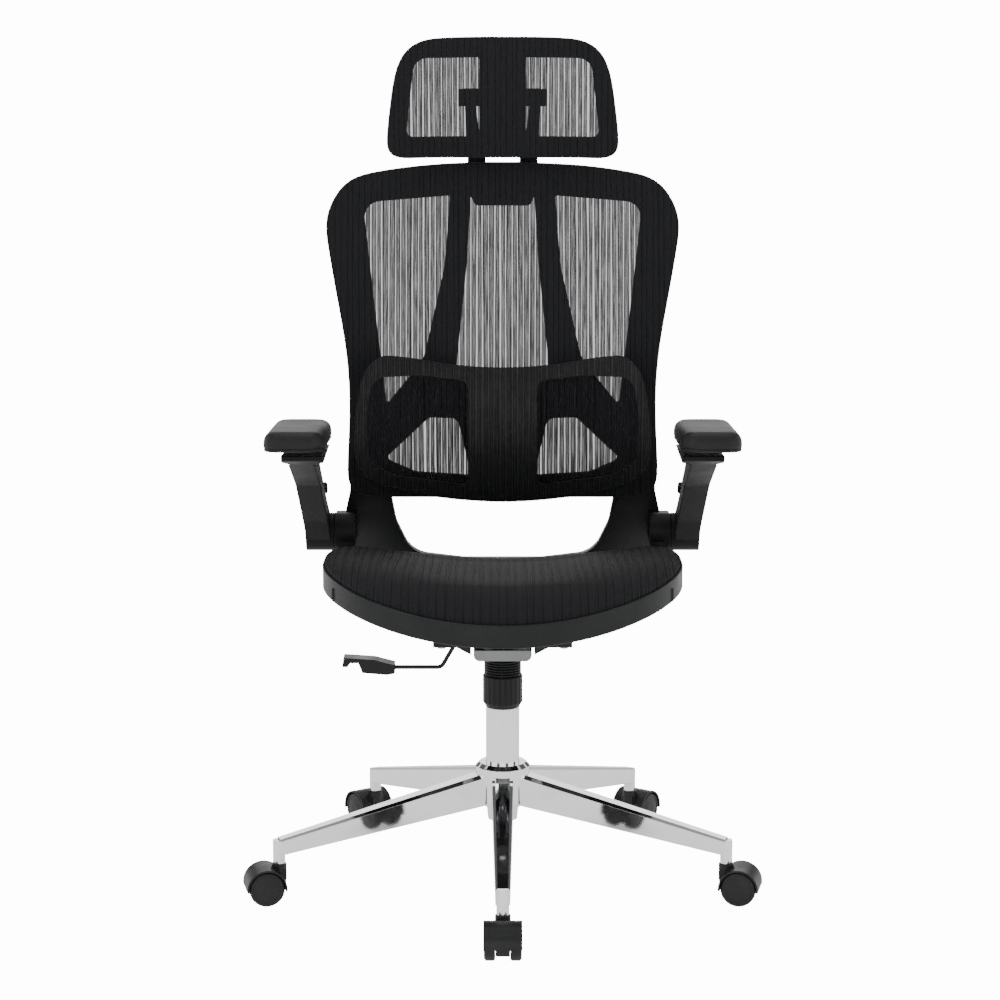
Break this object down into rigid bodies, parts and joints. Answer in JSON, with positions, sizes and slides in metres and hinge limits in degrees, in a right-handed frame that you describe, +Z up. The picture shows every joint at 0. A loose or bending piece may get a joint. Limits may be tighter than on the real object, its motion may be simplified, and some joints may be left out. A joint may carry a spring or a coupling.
{
  "type": "swivel office chair",
  "caption": "Swivel office chair with ribbed mesh back, lumbar pad, headrest, flip-up arms, dished mesh seat and a chromed star base on twin-wheel casters.",
  "frame": {"origin": "on the floor, on the axis of the gas column", "axes": "+Z up, -Y towards the front of the chair, +X to the right of a viewer in front"},
  "size_m": [0.7662, 0.7316, 1.2491],
  "materials": {
    "chrome": "mirror-bright chrome plate",
    "zinc": "bright zinc plate",
    "steel_black": "black powder coat",
    "steel": "plain bright steel",
    "frame_plastic": "fine-grained moulded nylon",
    "arm_plastic": "fine-grained moulded nylon",
    "seat_plastic": "satin moulded polypropylene",
    "pad_skin": "soft moulded polyurethane skin",
    "mesh_fabric": "ribbed elastic mesh",
    "seat_fabric": "ribbed elastic mesh",
    "wheel": "hard nylon tread",
    "hood_plastic": "satin moulded nylon",
    "knob_plastic": "moulded ABS",
    "spring": "black oxide"
  },
  "bodies": {
    "base": {"base_star": "chrome", "column_tube": "chrome", "column_bush": "knob_plastic"},
    "gas_rod": {"gas_rod": "steel", "rod_clip": "steel"},
    "mechanism": {"gas_cylinder": "steel_black", "swivel_bracket": "zinc", "taper_sleeve": "zinc", "tilt_pin": "steel", "tension_sleeve": "knob_plastic", "tension_spring": "spring"},
    "valve": {"valve_pin": "steel"},
    "tension_rod": {"tension_rod": "steel"},
    "tension_knob": {"tension_knob": "knob_plastic"},
    "lever_bush": {"lever_bush": "knob_plastic"},
    "lever": {"lever_rod": "steel_black", "lever_handle": "knob_plastic"},
    "seat": {"tilt_tray": "steel_black", "tray_screws": "steel", "seat_frame": "seat_plastic", "seat_mesh": "seat_fabric", "back_frame": "frame_plastic", "back_mesh": "mesh_fabric", "back_yoke": "frame_plastic", "headrest_guide": "frame_plastic", "left_arm_bracket": "arm_plastic", "right_arm_bracket": "arm_plastic"},
    "lumbar": {"lumbar_bracket": "frame_plastic", "lumbar_frame": "frame_plastic", "lumbar_mesh": "mesh_fabric"},
    "headrest_stem": {"headrest_bracket": "frame_plastic"},
    "headrest": {"headrest_frame": "frame_plastic", "headrest_mesh": "mesh_fabric", "headrest_pin": "steel"},
    "left_arm": {"left_arm_post": "arm_plastic", "left_arm_pad": "pad_skin"},
    "right_arm": {"right_arm_post": "arm_plastic", "right_arm_pad": "pad_skin"},
    "left_latch": {"left_arm_latch": "knob_plastic"},
    "right_latch": {"right_arm_latch": "knob_plastic"},
    "front_caster": {"front_caster_hood": "hood_plastic", "front_caster_pins": "steel"},
    "front_wheel_a": {"front_caster_wheel_a": "wheel"},
    "front_wheel_b": {"front_caster_wheel_b": "wheel"},
    "front_right_caster": {"front_right_caster_hood": "hood_plastic", "front_right_caster_pins": "steel"},
    "front_right_wheel_a": {"front_right_caster_wheel_a": "wheel"},
    "front_right_wheel_b": {"front_right_caster_wheel_b": "wheel"},
    "rear_right_caster": {"rear_right_caster_hood": "hood_plastic", "rear_right_caster_pins": "steel"},
    "rear_right_wheel_a": {"rear_right_caster_wheel_a": "wheel"},
    "rear_right_wheel_b": {"rear_right_caster_wheel_b": "wheel"},
    "rear_left_caster": {"rear_left_caster_hood": "hood_plastic", "rear_left_caster_pins": "steel"},
    "rear_left_wheel_a": {"rear_left_caster_wheel_a": "wheel"},
    "rear_left_wheel_b": {"rear_left_caster_wheel_b": "wheel"},
    "front_left_caster": {"front_left_caster_hood": "hood_plastic", "front_left_caster_pins": "steel"},
    "front_left_wheel_a": {"front_left_caster_wheel_a": "wheel"},
    "front_left_wheel_b": {"front_left_caster_wheel_b": "wheel"}
  },
  "joints": [
    {"name": "seat_swivel", "type": "hinge", "parent": "base", "child": "gas_rod", "pos_m": [0, 0, 0.1], "axis": [0, 0, 1], "continuous": true},
    {"name": "seat_lift", "type": "slide", "parent": "gas_rod", "child": "mechanism", "axis": [0, 0, 1], "range_m": [-0.04, 0.055]},
    {"name": "seat_tilt", "type": "hinge", "parent": "mechanism", "child": "seat", "pos_m": [0, -0.035, 0.382], "axis": [-1, 0, 0], "range_deg": [0, 12], "stiffness_Nm_per_rad": 90, "springref_deg": -25.78, "deforming": ["tension_spring"]},
    {"name": "tension_travel", "type": "slide", "parent": "mechanism", "child": "tension_rod", "axis": [0, 0, 1], "range_m": [0, 0.00968], "deforming": ["tension_spring"]},
    {"name": "tension_turn", "type": "hinge", "parent": "tension_rod", "child": "tension_knob", "pos_m": [0, -0.08, 0.31], "axis": [0, 0, 1], "continuous": true},
    {"name": "lever_pull", "type": "slide", "parent": "mechanism", "child": "lever_bush", "axis": [-1, 0, 0], "range_m": [0, 0.01]},
    {"name": "lever_lift", "type": "hinge", "parent": "lever_bush", "child": "lever", "pos_m": [-0.042, 0, 0.377], "axis": [0, 1, 0], "range_deg": [0, 7], "stiffness_Nm_per_rad": 3, "springref_deg": -6.88},
    {"name": "valve_press", "type": "slide", "parent": "mechanism", "child": "valve", "axis": [0, 0, -1], "range_m": [0, 0.0056]},
    {"name": "lumbar_slide", "type": "slide", "parent": "seat", "child": "lumbar", "axis": [0, 0, 1], "range_m": [-0.025, 0.025]},
    {"name": "headrest_height", "type": "slide", "parent": "seat", "child": "headrest_stem", "axis": [0, 0, 1], "range_m": [0, 0.03]},
    {"name": "headrest_tilt", "type": "hinge", "parent": "headrest_stem", "child": "headrest", "pos_m": [0, 0.182, 1.16], "axis": [1, 0, 0], "range_deg": [-15, 20]},
    {"name": "left_arm_flip", "type": "hinge", "parent": "seat", "child": "left_arm", "pos_m": [-0.284, 0.115, 0.511], "axis": [-1, 0, 0], "range_deg": [0, 90]},
    {"name": "left_latch_press", "type": "slide", "parent": "left_arm", "child": "left_latch", "axis": [0, -0.66, -0.7513], "range_m": [0, 0.004], "stiffness_N_per_m": 600, "springref_m": -0.003},
    {"name": "right_arm_flip", "type": "hinge", "parent": "seat", "child": "right_arm", "pos_m": [0.284, 0.115, 0.511], "axis": [-1, 0, 0], "range_deg": [0, 90]},
    {"name": "right_latch_press", "type": "slide", "parent": "right_arm", "child": "right_latch", "axis": [0, -0.66, -0.7513], "range_m": [0, 0.004], "stiffness_N_per_m": 600, "springref_m": -0.003},
    {"name": "front_caster_swivel", "type": "hinge", "parent": "base", "child": "front_caster", "pos_m": [0, -0.345, 0.06], "axis": [0, 0, 1], "continuous": true},
    {"name": "front_wheel_a_roll", "type": "hinge", "parent": "front_caster", "child": "front_wheel_a", "pos_m": [0, -0.366, 0.026], "axis": [1, 0, 0], "continuous": true},
    {"name": "front_wheel_b_roll", "type": "hinge", "parent": "front_caster", "child": "front_wheel_b", "pos_m": [0, -0.366, 0.026], "axis": [1, 0, 0], "continuous": true},
    {"name": "front_right_caster_swivel", "type": "hinge", "parent": "base", "child": "front_right_caster", "pos_m": [0.32811, -0.10661, 0.06], "axis": [0, 0, 1], "continuous": true},
    {"name": "front_right_wheel_a_roll", "type": "hinge", "parent": "front_right_caster", "child": "front_right_wheel_a", "pos_m": [0.34866, -0.11098, 0.026], "axis": [0.2079, 0.9781, 0], "continuous": true},
    {"name": "front_right_wheel_b_roll", "type": "hinge", "parent": "front_right_caster", "child": "front_right_wheel_b", "pos_m": [0.34866, -0.11098, 0.026], "axis": [0.2079, 0.9781, 0], "continuous": true},
    {"name": "rear_right_caster_swivel", "type": "hinge", "parent": "base", "child": "rear_right_caster", "pos_m": [0.20279, 0.27911, 0.06], "axis": [0, 0, 1], "continuous": true},
    {"name": "rear_right_wheel_a_roll", "type": "hinge", "parent": "rear_right_caster", "child": "rear_right_wheel_a", "pos_m": [0.21453, 0.29652, 0.026], "axis": [-0.829, 0.5592, 0], "continuous": true},
    {"name": "rear_right_wheel_b_roll", "type": "hinge", "parent": "rear_right_caster", "child": "rear_right_wheel_b", "pos_m": [0.21453, 0.29652, 0.026], "axis": [-0.829, 0.5592, 0], "continuous": true},
    {"name": "rear_left_caster_swivel", "type": "hinge", "parent": "base", "child": "rear_left_caster", "pos_m": [-0.20279, 0.27911, 0.06], "axis": [0, 0, 1], "continuous": true},
    {"name": "rear_left_wheel_a_roll", "type": "hinge", "parent": "rear_left_caster", "child": "rear_left_wheel_a", "pos_m": [-0.21453, 0.29652, 0.026], "axis": [-0.829, -0.5592, 0], "continuous": true},
    {"name": "rear_left_wheel_b_roll", "type": "hinge", "parent": "rear_left_caster", "child": "rear_left_wheel_b", "pos_m": [-0.21453, 0.29652, 0.026], "axis": [-0.829, -0.5592, 0], "continuous": true},
    {"name": "front_left_caster_swivel", "type": "hinge", "parent": "base", "child": "front_left_caster", "pos_m": [-0.32811, -0.10661, 0.06], "axis": [0, 0, 1], "continuous": true},
    {"name": "front_left_wheel_a_roll", "type": "hinge", "parent": "front_left_caster", "child": "front_left_wheel_a", "pos_m": [-0.34866, -0.11098, 0.026], "axis": [0.2079, -0.9781, 0], "continuous": true},
    {"name": "front_left_wheel_b_roll", "type": "hinge", "parent": "front_left_caster", "child": "front_left_wheel_b", "pos_m": [-0.34866, -0.11098, 0.026], "axis": [0.2079, -0.9781, 0], "continuous": true}
  ],
  "couplings": [
    {"joint": "tension_travel", "follows": "seat_tilt", "m_per_rad": 0.0462},
    {"joint": "valve_press", "follows": "lever_lift", "m_per_rad": 0.044}
  ]
}
